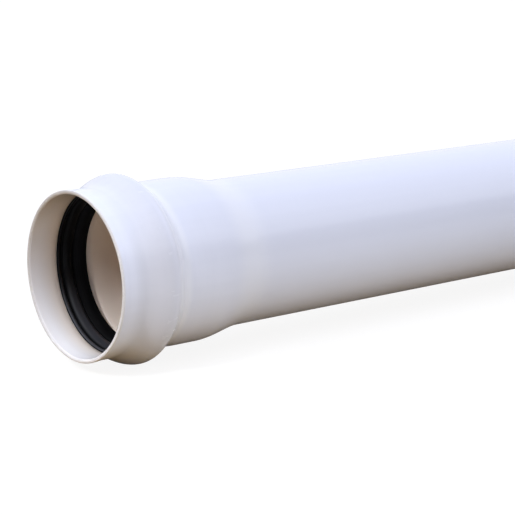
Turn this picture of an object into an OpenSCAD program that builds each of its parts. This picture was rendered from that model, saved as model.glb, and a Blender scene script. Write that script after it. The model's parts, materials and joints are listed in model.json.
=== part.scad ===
// Gasketed plastic pipe: one length of pipe whose bell holds a rubber sealing ring in its raceway.
// It lies on a level floor, on the bulge of its bell and the lower edge of its spigot.

/* [Barrel] */
// Outside diameter of the barrel and spigot
barrel_d = 159.4; // [110:0.1:220]
// Wall thickness of the barrel
pipe_wall = 4.6; // [3:0.1:6.5]
// Length that one pipe adds to a line, without its bell
laying_length = 3048; // [1000:1:6200]
// Length of the bevel that leads the spigot into the next bell
bevel_length = 10; // [4:0.5:14]
// Slope of the bevel from the pipe's axis, in degrees
bevel_slope = 15; // [8:1:18]

/* [Bell] */
// Wall thickness of the bell, a little thinner where the tube was stretched
bell_wall = 4.2; // [3:0.1:6.5]
// Outside diameter at the mouth of the bell
mouth_d = 178.4; // [172:0.1:190]
// Outside diameter of the neck between the mouth and the bulge
neck_d = 177; // [170:0.1:188]
// Distance from the mouth to the narrowest place of the neck
neck_x = 14; // [8:0.5:20]
// Radius of the rim's outer edge
rim_outer_round = 1.5; // [0.5:0.1:2]
// Radius of the rim's inner edge
rim_inner_round = 0.6; // [0.2:0.1:1.5]
// Depth of the socket, from the mouth to where the spigot stops
socket_depth = 132.8; // [120:0.1:160]
// Outside diameter of the socket
socket_d = 176.4; // [172:0.1:186]
// Length of the shoulder between the socket and the barrel
shoulder_length = 57.6; // [30:0.1:90]

/* [Raceway] */
// Distance from the mouth to where the bulge starts to rise
bulge_start_x = 25.6; // [22:0.1:32]
// Distance from the mouth to the crest of the bulge
bulge_x = 58.8; // [50:0.1:64]
// Outside diameter at the crest of the bulge
bulge_d = 200.2; // [194:0.1:210]
// Distance from the mouth to the crease behind the bulge
crease_x = 80.5; // [76:0.1:90]
// Outside diameter at the crease
crease_d = 174.2; // [170:0.1:182]
// Length over which the wall widens from the crease to the socket
crease_blend = 26; // [10:0.5:34]

/* [Gasket] */
// Distance from the mouth to the front edge of the gasket
gasket_front_x = 35; // [33:0.1:42]
// Distance from the mouth to the rear edge of the gasket's seat
gasket_rear_x = 71; // [69:0.1:74]
// Gap between the gasket and the raceway that holds it
seat_gap = 0.2; // [0.1:0.05:0.5]
// Distance from the mouth to the front of the sealing lip's land
lip_x = 63.7; // [58:0.1:66]
// Inside diameter of the sealing lip
lip_d = 153.8; // [150:0.1:157]
// Length of the lip's cylindrical land
lip_land = 3; // [2:0.1:5]
// Thickness of the lip at its root
lip_thickness = 4.5; // [3:0.1:6]
// Radius of the lip's and heel's rear edges
lip_round = 0.8; // [0.3:0.1:1.2]
// Height of the heel that closes the gasket's rear edge
heel_height = 2.6; // [1.5:0.1:4]
// Width of the bead along the gasket's front edge
bead_width = 4.4; // [3:0.1:5.5]
// Height of the front bead
bead_height = 1.6; // [0.5:0.1:2]
// Width of the broad rib in the middle of the gasket
rib_width = 11; // [7:0.1:12]
// Height of the broad rib
rib_height = 1.7; // [0.5:0.1:2.5]
// Width of the groove on each side of the broad rib
groove_width = 2; // [0.6:0.1:2.5]
// Depth of those grooves
groove_depth = 0.9; // [0.3:0.1:1.5]

/* [Hidden] */

$fn = 128;
curve_steps = 14;
round_steps = 6;
rib_steps = 10;

barrel_r = barrel_d / 2;
overall_length = laying_length + socket_depth;
bevel_x = overall_length - bevel_length;
spigot_end_r = barrel_r - bevel_length * tan(bevel_slope);
bore_r = barrel_r - pipe_wall;

// Places along the pipe where its wall changes form: distance from the mouth, outer radius and wall thickness
bulge_start = [bulge_start_x, neck_d / 2, bell_wall];
crest = [bulge_x, bulge_d / 2, bell_wall];
crease = [crease_x, crease_d / 2, bell_wall];
stations = [
    [rim_outer_round, mouth_d / 2, bell_wall],
    [neck_x, neck_d / 2, bell_wall],
    bulge_start,
    crest,
    crease,
    [crease_x + crease_blend, socket_d / 2, bell_wall],
    [socket_depth, socket_d / 2, bell_wall],
    [socket_depth + shoulder_length, barrel_r, pipe_wall],
    [bevel_x, barrel_r, pipe_wall]
];

// Lying at rest, the axis slopes down from the bulge to the spigot's lower edge
rest_tilt = atan((bulge_d / 2 - barrel_r) / (bevel_x - bulge_x));
mouth_height = bulge_d / 2 * cos(rest_tilt) + bulge_x * sin(rest_tilt);
mouth_reach = (overall_length * cos(rest_tilt) + (spigot_end_r - mouth_d / 2) * sin(rest_tilt)) / 2;

// Share of an S-shaped curve's rise at a share of its run
function ease(share) = share * share * (3 - 2 * share);

// Radius of the outer wall between two stations, and its slope there
function outer_r(from, to, share) = from[1] + ease(share) * (to[1] - from[1]);
function outer_slope(from, to, share) = 6 * share * (1 - share) * (to[1] - from[1]) / (to[0] - from[0]);

// Point on the wall between two stations, at a share of its thickness below the outer surface and then a gap more
function wall_point(from, to, share, inside, gap = 0) =
    let (
        thickness = from[2] + ease(share) * (to[2] - from[2]),
        depth = inside * thickness + gap,
        slope = outer_slope(from, to, share)
    )
    [from[0] + share * (to[0] - from[0]), outer_r(from, to, share) - depth * norm([1, slope])];

// Points of the wall from the mouth to the start of the bevel, on its outer surface or its inner one
function wall_line(inside) = [
    for (i = [0 : len(stations) - 2])
        let (
            from = stations[i],
            to = stations[i + 1],
            steps = from[1] == to[1] ? 1 : curve_steps
        )
        for (k = [0 : steps - 1]) wall_point(from, to, k / steps, inside),
    [bevel_x, barrel_r - inside * pipe_wall]
];

// Points of a round edge about a centre, from one angle to another
function round_edge(centre, radius, start, end) = [
    for (k = [0 : round_steps])
        let (angle = start + (end - start) * k / round_steps)
        centre + radius * [cos(angle), sin(angle)]
];

// Turns a closed outline of distances and radii about the pipe's axis and lays it on the floor
module turned(outline) {
    translate([-mouth_reach, 0, mouth_height])
        rotate([0, 90 + rest_tilt, 0])
            rotate_extrude()
                polygon([for (p = outline) [p[1], p[0]]]);
}

// The pipe: barrel, bevelled spigot and the bell that is formed on its other end
module pipe() {
    mouth_r = mouth_d / 2;
    mouth_bore_r = mouth_r - bell_wall;
    rim_outer = round_edge([rim_outer_round, mouth_r - rim_outer_round], rim_outer_round, 180, 90);
    rim_inner = round_edge([rim_inner_round, mouth_bore_r + rim_inner_round], rim_inner_round, 270, 180);
    outer = wall_line(0);
    inner = wall_line(1);
    spigot_end = [[overall_length, spigot_end_r], [overall_length, bore_r]];
    color("ghostwhite")
        turned(concat(
            rim_outer,
            [for (i = [1 : len(outer) - 1]) outer[i]],
            spigot_end,
            [for (i = [len(inner) - 2 : -1 : 0]) inner[i]],
            rim_inner
        ));
}

// The gasket: a rubber ring that fills the raceway, with a bead, a broad rib and a sealing lip
module gasket() {
    front_share = (gasket_front_x - bulge_start_x) / (bulge_x - bulge_start_x);
    rear_share = (gasket_rear_x - bulge_x) / (crease_x - bulge_x);
    seat = concat(
        [for (k = [0 : curve_steps - 1])
            wall_point(bulge_start, crest, front_share + (1 - front_share) * k / curve_steps, 1, seat_gap)],
        [for (k = [0 : curve_steps])
            wall_point(crest, crease, rear_share * k / curve_steps, 1, seat_gap)]
    );

    // The face that shows in the mouth slopes from the front edge to the lip
    front = seat[0];
    lip = [lip_x, lip_d / 2];
    face_length = norm(lip - front);
    along = (lip - front) / face_length;
    inward = [along[1], -along[0]];
    function on_face(distance, height) = front + distance * along + height * inward;
    function swelling(start, width, height, steps) = [
        for (k = [0 : steps])
            on_face(start + width * (1 - cos(180 * k / steps)) / 2, height * sin(180 * k / steps))
    ];
    rib_start = bead_width + groove_width;
    face = concat(
        swelling(0, bead_width, bead_height, round_steps),
        [on_face(bead_width + groove_width / 2, -groove_depth)],
        swelling(rib_start, rib_width, rib_height, rib_steps),
        [on_face(rib_start + rib_width + groove_width / 2, -groove_depth)],
        [on_face(rib_start + rib_width + groove_width, 0)]
    );

    // Behind the lip a groove lets the water press the lip onto the spigot
    lip_root = on_face(rib_start + rib_width + groove_width + lip_thickness, -lip_thickness);
    heel = seat[len(seat) - 1];
    lip_end = round_edge([lip_x + lip_land, lip_d / 2 + lip_round], lip_round, 270, 360);
    heel_edge = round_edge([heel[0] - 2 * lip_round, heel[1] - heel_height + lip_round], lip_round, 270, 360);
    color([0.07, 0.07, 0.08])
        turned(concat(
            face,
            [lip],
            lip_end,
            [lip_root],
            heel_edge,
            [for (i = [len(seat) - 1 : -1 : 1]) seat[i]]
        ));
}

pipe();
gasket();
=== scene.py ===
import json
import math

import bpy
from mathutils import Matrix, Vector


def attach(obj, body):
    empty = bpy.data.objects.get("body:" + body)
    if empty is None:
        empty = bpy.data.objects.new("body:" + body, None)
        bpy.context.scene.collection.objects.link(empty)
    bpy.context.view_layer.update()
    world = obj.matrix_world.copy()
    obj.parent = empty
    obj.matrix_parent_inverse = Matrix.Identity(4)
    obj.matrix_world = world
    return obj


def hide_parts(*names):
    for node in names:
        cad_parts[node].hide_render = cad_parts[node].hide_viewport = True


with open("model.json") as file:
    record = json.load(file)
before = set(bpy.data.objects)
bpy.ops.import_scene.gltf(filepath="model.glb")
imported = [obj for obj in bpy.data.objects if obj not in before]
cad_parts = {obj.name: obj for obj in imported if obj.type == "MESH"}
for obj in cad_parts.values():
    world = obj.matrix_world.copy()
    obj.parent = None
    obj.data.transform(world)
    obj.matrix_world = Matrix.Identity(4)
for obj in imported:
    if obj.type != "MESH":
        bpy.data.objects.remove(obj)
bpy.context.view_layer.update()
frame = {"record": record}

# The pipe: one length of extruded white plastic tube, sawn to length.
# Its bell was formed on one end by heat over a mandrel, so lip, raceway bulge, socket and shoulder
# are the same wall as the barrel, and a bevel was turned on its other end.
mounts = {mount["name"]: mount for mount in frame["record"]["mounts"]}
barrel_r = mounts["spigot"]["dims"]["r_mm"] / 1000
bore_r = mounts["flow_bore"]["dims"]["r_mm"] / 1000
pipe_wall = barrel_r - bore_r
bell_wall = 0.0042
mouth_r = 0.0892
neck_x = 0.014
neck_r = 0.0885
bulge_start_x = 0.0256
bulge_x = 0.0588
bulge_r = 0.1001
crease_x = 0.0805
crease_r = 0.0871
crease_blend = 0.026
socket_depth = 0.1328
socket_r = 0.0882
shoulder_length = 0.0576
rim_outer_round = 0.0012
rim_inner_round = 0.0022
bevel_length = 0.010
bevel_degrees = 15
bevel_slope = math.radians(bevel_degrees)
cut_edge_round = 0.0005
shading_margin = 0.006
overall_length = 3.1808
turn_steps = 256
round_steps = 6

bevel_x = overall_length - bevel_length
spigot_end_r = barrel_r - bevel_length * math.tan(bevel_slope)

# Its axis slopes down a little from the bulge to the spigot. The gasket's seal tells where the mouth is.
seal_x = 0.0652
axis = Vector(mounts["spigot"]["axis"]).normalized()
across = Vector((0, 1, 0))
mouth = Vector(mounts["gasket_seal"]["pos_m"]) - seal_x * axis
lying = Matrix((axis, across, axis.cross(across))).transposed().to_4x4()
lying.translation = mouth

# Places along the pipe where its wall changes form: distance from the mouth, outer radius,
# wall thickness, and steps to the next place. The last but one keeps the soft shading
# of the bevel's edge off the long barrel.
bulge_start = (bulge_start_x, neck_r, bell_wall, 28)
crest = (bulge_x, bulge_r, bell_wall, 28)
crease = (crease_x, crease_r, bell_wall, 20)
stations = [
    (rim_outer_round, mouth_r, bell_wall, 12),
    (neck_x, neck_r, bell_wall, 2),
    bulge_start,
    crest,
    crease,
    (crease_x + crease_blend, socket_r, bell_wall, 3),
    (socket_depth, socket_r, bell_wall, 28),
    (socket_depth + shoulder_length, barrel_r, pipe_wall, 24),
    (bevel_x - shading_margin, barrel_r, pipe_wall, 1),
    (bevel_x - cut_edge_round, barrel_r, pipe_wall, 0),
]


def ease(share):
    """Share of an S-shaped curve's rise at a share of its run."""
    return share * share * (3 - 2 * share)


def wall_point(start, end, share, inside, gap=0.0):
    """Point of the wall between two stations, on its outer or inner surface, and then a gap deeper."""
    rise = end[1] - start[1]
    run = end[0] - start[0]
    thickness = start[2] + ease(share) * (end[2] - start[2])
    slope = 6 * share * (1 - share) * rise / run
    depth = inside * thickness + gap
    return (start[0] + share * run, start[1] + ease(share) * rise - depth * math.hypot(1, slope))


def wall_line(inside):
    """Points of the wall from the mouth to the bevel, on its outer surface or its inner one."""
    points = []
    for start, end in zip(stations, stations[1:]):
        steps = start[3]
        points += [wall_point(start, end, step / steps, inside) for step in range(steps)]
    last = stations[-1]
    return points + [(last[0], last[1] - inside * last[2])]


def round_edge(centre, radius, start_deg, end_deg):
    """Points of a round edge about a centre, from one angle to another."""
    points = []
    for step in range(round_steps + 1):
        angle = math.radians(start_deg + (end_deg - start_deg) * step / round_steps)
        points.append((centre[0] + radius * math.cos(angle), centre[1] + radius * math.sin(angle)))
    return points


def turned(name, outline, marks):
    """Turns a closed outline of distances and radii about the pipe's axis into a smooth mesh.
    The outline runs along the outside first. Each mark gives its points a value that the material reads.
    The map for baking unrolls the surface, with more room for the short faces than their share."""
    count = len(outline)
    lengths = [math.dist(outline[i], outline[(i + 1) % count]) ** 0.5 for i in range(count)]
    unrolled = [sum(lengths[:i]) / sum(lengths) for i in range(count + 1)]
    vertices = []
    for x, r in outline:
        for turn in range(turn_steps):
            angle = 2 * math.pi * turn / turn_steps
            vertices.append(lying @ Vector((x, r * math.cos(angle), r * math.sin(angle))))
    faces = []
    places = []
    for i in range(count):
        ahead = (i + 1) % count
        for turn in range(turn_steps):
            following = (turn + 1) % turn_steps
            faces.append((
                i * turn_steps + turn,
                i * turn_steps + following,
                ahead * turn_steps + following,
                ahead * turn_steps + turn,
            ))
            low, high = turn / turn_steps, (turn + 1) / turn_steps
            places += [low, unrolled[i], high, unrolled[i], high, unrolled[i + 1], low, unrolled[i + 1]]
    mesh = bpy.data.meshes.new(name)
    mesh.from_pydata(vertices, [], faces)
    mesh.uv_layers.new(name="OFBake").uv.foreach_set("vector", places)
    mesh.shade_smooth()
    for mark, values in marks.items():
        layer = mesh.attributes.new(mark, "FLOAT", "POINT")
        layer.data.foreach_set("value", [value for value in values for turn in range(turn_steps)])
    piece = bpy.data.objects.new(name, mesh)
    bpy.context.scene.collection.objects.link(piece)
    return piece


rim_outer = round_edge((rim_outer_round, mouth_r - rim_outer_round), rim_outer_round, 180, 90)
rim_inner = round_edge((rim_inner_round, mouth_r - bell_wall + rim_inner_round), rim_inner_round, 270, 180)
bevel_start = [(bevel_x + cut_edge_round, barrel_r - cut_edge_round * math.tan(bevel_slope))]
cut_x = overall_length - cut_edge_round
spigot_outer = round_edge((cut_x, spigot_end_r - cut_edge_round), cut_edge_round, 90 - bevel_degrees, 0)
spigot_inner = round_edge((cut_x, bore_r + cut_edge_round), cut_edge_round, 0, -90)
outer_wall = wall_line(0)[1:]
inner_wall = wall_line(1)[::-1]
spigot_cut = bevel_start + spigot_outer
outer_line = rim_outer + outer_wall + spigot_cut
inner_line = spigot_inner + inner_wall + rim_inner

# The sawn rim and the turned spigot end show the inside of the plastic,
# which fades out over their round edges
rim_fade = [1, 1, 1, 1, 1, 1, 0.9, 0.4]
edge_fade = [1, 1, 1, 0.9, 0.6, 0.3, 0]
pipe_marks = {
    "inside": [0] * len(outer_line) + [1] * len(inner_line),
    "cut": (
        rim_fade
        + [0] * (len(outer_wall) - 1)
        + [1] * len(spigot_cut)
        + edge_fade
        + [0] * len(inner_wall)
        + edge_fade[::-1]
    ),
}
pipe = turned("bell_and_barrel", outer_line + inner_line, pipe_marks)


class Wire:
    """A socket of a node tree that can stand in sums, as in 1 - mask.
    A sum of wires and numbers adds Math nodes."""

    def __init__(self, tree, socket=None):
        self.tree = tree
        self.socket = socket

    def node(self, kind, settings, sockets, output=0):
        """Adds a node with its settings, then the values or wires of its sockets, and returns an output."""
        made = self.tree.nodes.new(kind)
        for key, value in settings.items():
            if key == "stops":
                ramp = made.color_ramp.elements
                while len(ramp) < len(value):
                    ramp.new(1.0)
                for stop, (position, colour) in zip(ramp, value):
                    stop.position = position
                    stop.color = (*colour, 1)
            else:
                setattr(made, key, value)
        for key, value in sockets.items():
            if isinstance(value, Wire):
                self.tree.links.new(value.socket, made.inputs[key])
            else:
                made.inputs[key].default_value = value
        return Wire(self.tree, made.outputs[output]) if made.outputs else None

    def maths(self, operation, *others):
        """Result of a Math node that takes this wire first."""
        return self.node("ShaderNodeMath", {"operation": operation}, dict(enumerate((self, *others))))

    def __add__(self, other):
        return self.maths("ADD", other)

    __radd__ = __add__

    def __mul__(self, other):
        return self.maths("MULTIPLY", other)

    __rmul__ = __mul__

    def __sub__(self, other):
        return self.maths("SUBTRACT", other)

    def __rsub__(self, other):
        return (self * -1) + other

    def step(self, low, high):
        """0 below low and 1 above high, with a smooth change between them; low may be the larger."""
        limits = {"Value": self, "From Min": low, "From Max": high}
        return self.node("ShaderNodeMapRange", {"interpolation_type": "SMOOTHSTEP"}, limits)

    def blend(self, first, second):
        """First colour where this is 0, second where it is 1."""
        return self.node("ShaderNodeMix", {"data_type": "RGBA"}, {0: self, 6: first, 7: second}, 2)


def new_material(name):
    """An empty material, and the wire that its nodes start from."""
    material = bpy.data.materials.new(name)
    material.use_nodes = True
    material.node_tree.nodes.clear()
    return material, Wire(material.node_tree)


def place_on_pipe(start):
    """Place on a piece in the pipe's own frame, with X along it from the mouth."""
    world_place = start.node("ShaderNodeTexCoord", {}, {}, "Object")
    frame_of_pipe = {"Vector": world_place, "Location": mouth, "Rotation": lying.to_euler()}
    return start.node("ShaderNodeMapping", {"vector_type": "TEXTURE"}, frame_of_pipe)


def noise(place, scale, stretch=(1, 1, 1), detail=3.0):
    """Cloudy pattern from 0 to 1, finer along an axis where the stretch is larger."""
    resized = {"Vector": place, "Scale": stretch}
    pattern_place = place.node("ShaderNodeMapping", {"vector_type": "POINT"}, resized)
    return place.node("ShaderNodeTexNoise", {}, {"Vector": pattern_place, "Scale": scale, "Detail": detail})


white_pvc, start = new_material("white_pvc")
place = place_on_pipe(start)
inside = start.node("ShaderNodeAttribute", {"attribute_name": "inside"}, {}, "Fac")
cut = start.node("ShaderNodeAttribute", {"attribute_name": "cut"}, {}, "Fac")
depth = start.node("ShaderNodeSeparateXYZ", {}, {"Vector": place}, "X")
up_the_pipe = start.node("ShaderNodeSeparateXYZ", {}, {"Vector": place}, "Z")
outward = start.node("ShaderNodeVectorMath", {"operation": "MULTIPLY"}, {0: place, 1: (0, 1, 1)})
radius = start.node("ShaderNodeVectorMath", {"operation": "LENGTH"}, {0: outward}, "Value")

# Lines of the die run along the pipe, rings of the forming tool run around the bell, the sawn faces
# have tool marks, and the crest of the bulge is scuffed
streaks = noise(place, 1.0, (0.8, 70, 70))
die_lines = noise(place, 1.0, (1.5, 420, 420))
rings = noise(place, 1.0, (260, 6, 6)) * depth.step(0.17, 0.11)
tool_marks = noise(place, 1.0, (1500, 30, 700)) * cut
mottle = noise(place, 9.0)
grain = noise(place, 900.0)
scuffs = noise(place, 1.0, (45, 180, 180)).step(0.52, 0.70) * radius.step(0.0955, 0.0995)

# Painted highlights make the wall paler behind the crest of the bulge and where the shoulder meets
# the barrel, lifting the shade in the crease. Painted shade makes the front of the bell a little
# greyer, most of all in its lower half.
cool_white = (0.83, 0.84, 0.91, 1)
light_white = (0.86, 0.87, 0.94, 1)
painted_highlight_white = (0.94, 0.94, 0.97, 1)
front_shade_grey = (0.865, 0.855, 0.84, 1)
scuff_grey = (0.70, 0.70, 0.74, 1)
# Painted highlight bands behind the crest of the bulge and at the shoulder
crease_highlight = depth.step(0.056, 0.065) * depth.step(0.089, 0.081)
shoulder_highlight = depth.step(0.140, 0.166) * depth.step(0.204, 0.174)
# Painted shade: the front of the bell is greyer, most of all in its lower half
low_on_bell = up_the_pipe.step(0.085, 0.010)
painted_front_shade = depth.step(0.010, 0.030) * depth.step(0.068, 0.052) * (low_on_bell * 0.6 + 0.4)
tone = (streaks * 0.5 + mottle * 0.3 + rings * 0.2).step(0.3, 0.7)
outer_colour = tone.blend(cool_white, light_white)
outer_colour = (crease_highlight * 0.8 + shoulder_highlight * 0.6).blend(outer_colour, painted_highlight_white)
outer_colour = start.node(
    "ShaderNodeMix",
    {"data_type": "RGBA", "blend_type": "MULTIPLY"},
    {0: painted_front_shade, 6: outer_colour, 7: front_shade_grey},
    2,
)
outer_colour = (scuffs * 0.15).blend(outer_colour, scuff_grey)

# The inside turns from white at the mouth to tan behind the gasket, a painted shade that deepens
# further in. Along the bottom it is painted paler, as painted light, and along the top it is painted
# duller, as painted shade. Far inside it is white again.
mouth_white = (0.96, 0.93, 0.915, 1)
painted_shade_cream = (0.89, 0.785, 0.675, 1)
painted_shade_tan = (0.83, 0.635, 0.47, 1)
painted_light_cream = (0.98, 0.85, 0.72, 1)
painted_shade_brown = (0.70, 0.62, 0.56, 1)
barrel_white = (0.89, 0.87, 0.86, 1)
# Painted light along the bottom of the bore and painted shade along its top
painted_light_bottom = depth.step(0.06, 0.08) * up_the_pipe.step(-0.03, -0.055)
painted_shade_top = up_the_pipe.step(0.035, 0.08) * 0.9
# Painted shade: darker and warmer from the mouth to behind the gasket
bore_colour = depth.step(0.008, 0.036).blend(mouth_white, painted_shade_cream)
bore_colour = depth.step(0.06, 0.15).blend(bore_colour, painted_shade_tan)
bore_colour = painted_light_bottom.blend(bore_colour, painted_light_cream)
bore_colour = painted_shade_top.blend(bore_colour, painted_shade_brown)
bore_colour = depth.step(0.20, 0.60).blend(bore_colour, barrel_white)

sawn_grey = (0.75, 0.725, 0.70, 1)
sawn_white = (0.82, 0.79, 0.765, 1)
cut_colour = tool_marks.step(0.3, 0.7).blend(sawn_grey, sawn_white)
height = streaks * 0.6 + die_lines * 0.12 + rings * 0.25 + grain * 0.1 + tool_marks * 0.5
surface = {
    "Base Color": cut.blend(inside.blend(outer_colour, bore_colour), cut_colour),
    "Roughness": mottle * 0.06 + streaks * 0.06 + scuffs * 0.12 + cut * 0.35 + 0.12,
    "Normal": start.node("ShaderNodeBump", {}, {"Strength": 0.25, "Distance": 0.0002, "Height": height}),
    "IOR": 1.53,
    "Specular IOR Level": 0.5,
}
shader = start.node("ShaderNodeBsdfPrincipled", {}, surface)
start.node("ShaderNodeOutputMaterial", {}, {"Surface": shader})
pipe.data.materials.append(white_pvc)

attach(pipe, "root")
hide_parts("pipe")

# The gasket: one moulded ring of black rubber that the raceway of the bell holds.
# Its face has a bead at the front edge, a groove, a broad rib, a second groove and the sealing lip,
# and behind the lip a groove lets the water press the lip onto the spigot.
gasket_front_x = 0.035
gasket_rear_x = 0.071
seat_gap = 0.0002
lip_x = 0.0637
lip_r = mounts["gasket_seal"]["dims"]["r_mm"] / 1000
lip_land = mounts["gasket_seal"]["dims"]["length_mm"] / 1000
lip_thickness = 0.0045
lip_round = 0.0008
heel_height = 0.0026
bead_width = 0.0044
bead_height = 0.0016
rib_width = 0.011
rib_height = 0.0017
groove_width = 0.002
groove_depth = 0.0009
seat_steps = 20
rib_steps = 16

front_share = (gasket_front_x - bulge_start_x) / (bulge_x - bulge_start_x)
rear_share = (gasket_rear_x - bulge_x) / (crease_x - bulge_x)
seat = []
for step in range(seat_steps):
    share = front_share + (1 - front_share) * step / seat_steps
    seat.append(wall_point(bulge_start, crest, share, 1, seat_gap))
for step in range(seat_steps + 1):
    seat.append(wall_point(crest, crease, rear_share * step / seat_steps, 1, seat_gap))

# The face that shows in the mouth slopes from the front edge to the lip
front = Vector(seat[0])
lip = Vector((lip_x, lip_r))
along_face = (lip - front).normalized()
inward = Vector((along_face.y, -along_face.x))
rib_start = bead_width + groove_width
lip_start = rib_start + rib_width + groove_width


def on_face(distance, height):
    """Point at a distance from the gasket's front edge and a height above the line to its lip."""
    return tuple(front + distance * along_face + height * inward)


def swelling(first, width, height, steps):
    """Points of a bead or rib on the gasket's face."""
    points = []
    for step in range(steps + 1):
        angle = math.pi * step / steps
        points.append(on_face(first + width * (1 - math.cos(angle)) / 2, height * math.sin(angle)))
    return points


face = (
    swelling(0, bead_width, bead_height, rib_steps)[1:]
    + swelling(bead_width, groove_width, -groove_depth, round_steps)[1:-1]
    + swelling(rib_start, rib_width, rib_height, rib_steps)
    + swelling(rib_start + rib_width, groove_width, -groove_depth, round_steps)[1:-1]
    + [on_face(lip_start, 0), tuple(lip)]
)
lip_root = on_face(lip_start + lip_thickness, -lip_thickness)
heel = seat[-1]
lip_end = round_edge((lip_x + lip_land, lip_r + lip_round), lip_round, 270, 360)
heel_edge = round_edge((heel[0] - 2 * lip_round, heel[1] - heel_height + lip_round), lip_round, 270, 360)
ring_back = heel_edge[::-1] + [lip_root] + lip_end[::-1]
face_shares = [(Vector(point) - front).dot(along_face) / (lip - front).length for point in face]
gasket_marks = {"toward_lip": [0] * len(seat) + [1] * len(ring_back) + face_shares[::-1]}
gasket = turned("sealing_ring", seat + ring_back + face[::-1], gasket_marks)

# In the ring's lower half the bead and the rib shine a little, and their colour carries a painted sheen of
# lighter grey
rubber_black = (0.002, 0.002, 0.0025, 1)
rubber_bloom = (0.005, 0.005, 0.0055, 1)
sheen_grey = (0.066, 0.068, 0.079, 1)
black_rubber, start = new_material("black_rubber")
place = place_on_pipe(start)
toward_lip = start.node("ShaderNodeAttribute", {"attribute_name": "toward_lip"}, {}, "Fac")
bead_share = toward_lip.step(0.01, 0.05) * toward_lip.step(0.16, 0.10)
rib_share = toward_lip.step(0.20, 0.30) * toward_lip.step(0.60, 0.50)
lip_share = toward_lip.step(0.64, 0.72)
up_the_ring = start.node("ShaderNodeSeparateXYZ", {}, {"Vector": place}, "Z")
shine = up_the_ring.step(0.02, -0.06)
# Painted sheen: lighter grey on the bead and the rib in the ring's lower half
painted_sheen = up_the_ring.step(-0.01, -0.07) * (bead_share + rib_share * 0.5)
bloom = noise(place, 26.0)
flow_lines = noise(place, 1.0, (800, 7, 7))
grain = noise(place, 1400.0)
tone = (bloom * 0.5 + flow_lines * 0.5).step(0.3, 0.7)
rubber_colour = tone.blend(rubber_black, rubber_bloom)
height = grain * 0.6 + flow_lines * 0.8
surface = {
    "Base Color": (painted_sheen * 0.8).blend(rubber_colour, sheen_grey),
    "Roughness": bloom * 0.10 + flow_lines * 0.12 + lip_share * 0.15 + 0.18,
    "Normal": start.node("ShaderNodeBump", {}, {"Strength": 0.2, "Distance": 0.0001, "Height": height}),
    "Coat Weight": (bead_share + rib_share * 0.6) * shine,
    "Coat Roughness": 0.25,
    "Specular IOR Level": 0.05,
}
shader = start.node("ShaderNodeBsdfPrincipled", {}, surface)
start.node("ShaderNodeOutputMaterial", {}, {"Surface": shader})
gasket.data.materials.append(black_rubber)

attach(gasket, "root")
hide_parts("gasket")

# The floor: a plain pale sheet. It looks white to the camera and keeps a soft shadow of the pipe.
# The light that it throws back is brown under the pipe and in front of its mouth, pale beside it,
# and duller further off and towards the spigot.
floor_side = 60.0
floor_shadow_share = 0.28
floor_glow = 1.23
floor_mesh = bpy.data.meshes.new("floor")
half = floor_side / 2
corners = [(-half, -half, 0), (half, -half, 0), (half, half, 0), (-half, half, 0)]
floor_mesh.from_pydata(corners, [], [(0, 1, 2, 3)])
floor = bpy.data.objects.new("floor", floor_mesh)
bpy.context.scene.collection.objects.link(floor)


def ray_masks(start):
    """Masks of the rays that come from the camera, and of those that a shiny or clear surface sends on."""
    camera_ray = start.node("ShaderNodeLightPath", {}, {}, "Is Camera Ray")
    rays = camera_ray.socket.node.outputs
    off_gloss = Wire(start.tree, rays["Is Glossy Ray"])
    through_glass = Wire(start.tree, rays["Is Transmission Ray"])
    return camera_ray, off_gloss.maths("MAXIMUM", through_glass)


near_cream = (0.97, 0.92, 0.76, 1)
far_cream = (0.54, 0.505, 0.405, 1)
dull_cream = (0.44, 0.41, 0.34, 1)
warm_brown = (0.32, 0.195, 0.045, 1)
paper_white = (0.62, 0.60, 0.57, 1)
pale_floor, start = new_material("pale_floor")
camera_ray, mirrored_ray = ray_masks(start)
floor_place = start.node("ShaderNodeTexCoord", {}, {}, "Object")
off_axis = start.node("ShaderNodeSeparateXYZ", {}, {"Vector": floor_place}, "Y").maths("ABSOLUTE")
along_floor = start.node("ShaderNodeSeparateXYZ", {}, {"Vector": floor_place}, "X")
beside = along_floor.step(mouth.x - 0.22, mouth.x + 0.02)
far_along = along_floor.step(mouth.x + 0.3, mouth.x + 0.9)
pale = off_axis.step(0.20, 0.45).blend(near_cream, far_cream)
pale = (far_along * 0.6).blend(pale, dull_cream)
bounce_colour = (off_axis.step(0.06, 0.22) * beside).blend(warm_brown, pale)
bounce = start.node("ShaderNodeBsdfDiffuse", {}, {"Color": bounce_colour})
paper = start.node("ShaderNodeBsdfDiffuse", {}, {"Color": paper_white})
glow = start.node("ShaderNodeEmission", {}, {"Color": (1, 1, 1, 1), "Strength": floor_glow})
white = start.node("ShaderNodeMixShader", {}, {0: floor_shadow_share, 1: glow, 2: paper})
lit = start.node("ShaderNodeMixShader", {}, {0: mirrored_ray, 1: bounce, 2: paper})
shader = start.node("ShaderNodeMixShader", {}, {0: camera_ray, 1: lit, 2: white})
start.node("ShaderNodeOutputMaterial", {}, {"Surface": shader})
floor_mesh.materials.append(pale_floor)

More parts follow.
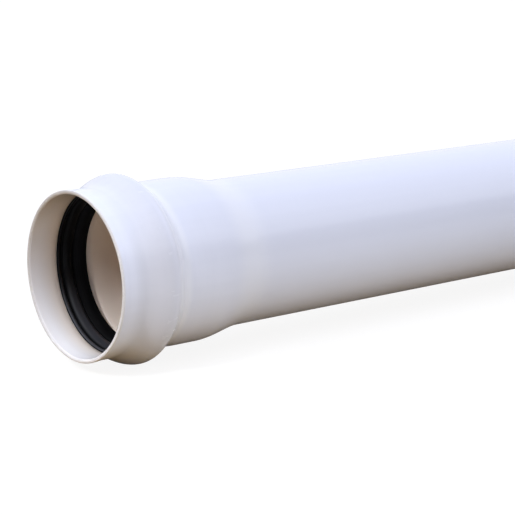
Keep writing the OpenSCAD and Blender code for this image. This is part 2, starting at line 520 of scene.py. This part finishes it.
# The studio light: a cool dome, a large softbox high in front of the mouth, and a lamp for its inside.
# Shiny surfaces mirror a white backdrop behind the pipe, and a dark low zone on its other side that
# ends lower towards the spigot.
studio = bpy.data.worlds.new("studio")
studio.use_nodes = True
studio.node_tree.nodes.clear()
bpy.context.scene.world = studio
start = Wire(studio.node_tree)
direction = start.node("ShaderNodeTexCoord", {}, {}, "Generated")
toward_spigot = start.node("ShaderNodeSeparateXYZ", {}, {"Vector": direction}, "X")
toward_backdrop = start.node("ShaderNodeSeparateXYZ", {}, {"Vector": direction}, "Y")
height = start.node("ShaderNodeSeparateXYZ", {}, {"Vector": direction}, "Z")
warm_haze = (0.56, 0.40, 0.27, 1)
dome_stops = [
    (0.0, (0.77, 0.80, 0.90)),
    (0.24, (0.77, 0.81, 0.94)),
    (0.32, (0.46, 0.50, 0.62)),
    (0.44, (0.42, 0.46, 0.60)),
    (0.49, (0.745, 0.803, 1.015)),
]
dome = start.node("ShaderNodeValToRGB", {"stops": dome_stops}, {"Fac": height})
sideways = toward_backdrop.maths("ABSOLUTE").step(0.1, 0.8)
dome = (height.step(0.44, 0.24) * (1 - sideways)).blend(dome, warm_haze)
light = start.node("ShaderNodeBackground", {}, {"Color": dome, "Strength": 1.0})

dark_zone = (0.06, 0.06, 0.07, 1)
backdrop_white = (1.0, 1.0, 1.02, 1)
sky_white = (1.0, 1.04, 1.10, 1)
mirrored_low = toward_backdrop.step(-0.1, 0.3).blend(dark_zone, backdrop_white)
horizon_dip = toward_spigot.step(0.45, 0.60) * 0.075 + toward_spigot.step(0.70, 0.90) * 0.18
mirrored_dome = (height + horizon_dip).step(0.43, 0.48).blend(mirrored_low, sky_white)
mirrored = start.node("ShaderNodeBackground", {}, {"Color": mirrored_dome, "Strength": 1.0})
white = start.node("ShaderNodeBackground", {}, {"Color": (1, 1, 1, 1), "Strength": 1.0})
camera_ray, mirrored_ray = ray_masks(start)
shader = start.node("ShaderNodeMixShader", {}, {0: mirrored_ray, 1: light, 2: mirrored})
shader = start.node("ShaderNodeMixShader", {}, {0: camera_ray, 1: shader, 2: white})
start.node("ShaderNodeOutputWorld", {}, {"Surface": shader})

softbox_side = 4.6
softbox_distance = 5.0
softbox_height = math.radians(71)
softbox_turn = math.radians(-6)
softbox_data = bpy.data.lights.new("softbox", "AREA")
softbox_data.shape = "RECTANGLE"
softbox_data.size = softbox_side
softbox_data.size_y = softbox_side
softbox_data.energy = 92.0
softbox_data.color = (0.97, 1.0, 1.02)
softbox = bpy.data.objects.new("softbox", softbox_data)
toward_softbox = Vector((
    -math.cos(softbox_height) * math.cos(softbox_turn),
    math.cos(softbox_height) * math.sin(softbox_turn),
    math.sin(softbox_height),
))
softbox.location = mouth + softbox_distance * toward_softbox
softbox.rotation_euler = toward_softbox.to_track_quat("Z", "Y").to_euler()
softbox.visible_camera = False
softbox.visible_glossy = False
bpy.context.scene.collection.objects.link(softbox)

# A small lamp with a narrow soft beam reaches into the mouth
mouth_lamp_stand = lying @ Vector((-1.10, -0.35, 0.95))
mouth_lamp_aim = lying @ Vector((0.036, -0.010, -0.082))
mouth_lamp_data = bpy.data.lights.new("mouth_lamp", "SPOT")
mouth_lamp_data.energy = 128.0
mouth_lamp_data.spot_size = math.radians(6.6)
mouth_lamp_data.spot_blend = 1.0
mouth_lamp_data.shadow_soft_size = 0.10
mouth_lamp_data.color = (0.93, 0.98, 1.06)
mouth_lamp = bpy.data.objects.new("mouth_lamp", mouth_lamp_data)
mouth_lamp.location = mouth_lamp_stand
mouth_lamp.rotation_euler = (mouth_lamp_stand - mouth_lamp_aim).to_track_quat("Z", "Y").to_euler()
mouth_lamp.visible_glossy = False
bpy.context.scene.collection.objects.link(mouth_lamp)

# The camera: in front of the mouth and to its right, looking slightly down, as the photograph was taken.
# Its place follows from its angles, the mouth's pixel in the photograph, and the mouth's depth in the view.
photo_side = 515
focal_pixels = 1762.5
view_turn = math.radians(50.74)
view_drop = math.radians(12.11)
mouth_pixel = (73.47, 277.22)
mouth_depth = 1.7942
forward = Vector((
    math.cos(view_turn) * math.cos(view_drop),
    math.sin(view_turn) * math.cos(view_drop),
    -math.sin(view_drop),
))
right = Vector((math.sin(view_turn), -math.cos(view_turn), 0))
up = right.cross(forward)
right_of_middle = (mouth_pixel[0] - photo_side / 2) / focal_pixels
below_middle = (mouth_pixel[1] - photo_side / 2) / focal_pixels
stand = -mouth_depth * (forward + right_of_middle * right - below_middle * up)
camera_data = bpy.data.cameras.new("camera")
camera_data.sensor_width = 36.0
camera_data.lens = focal_pixels / photo_side * camera_data.sensor_width
camera = bpy.data.objects.new("camera", camera_data)
turned_to_view = Matrix((right, up, -forward)).transposed().to_4x4()
turned_to_view.translation = stand
camera.matrix_world = lying @ turned_to_view
bpy.context.scene.collection.objects.link(camera)
bpy.context.scene.camera = camera
bpy.context.scene.view_settings.view_transform = "Standard"
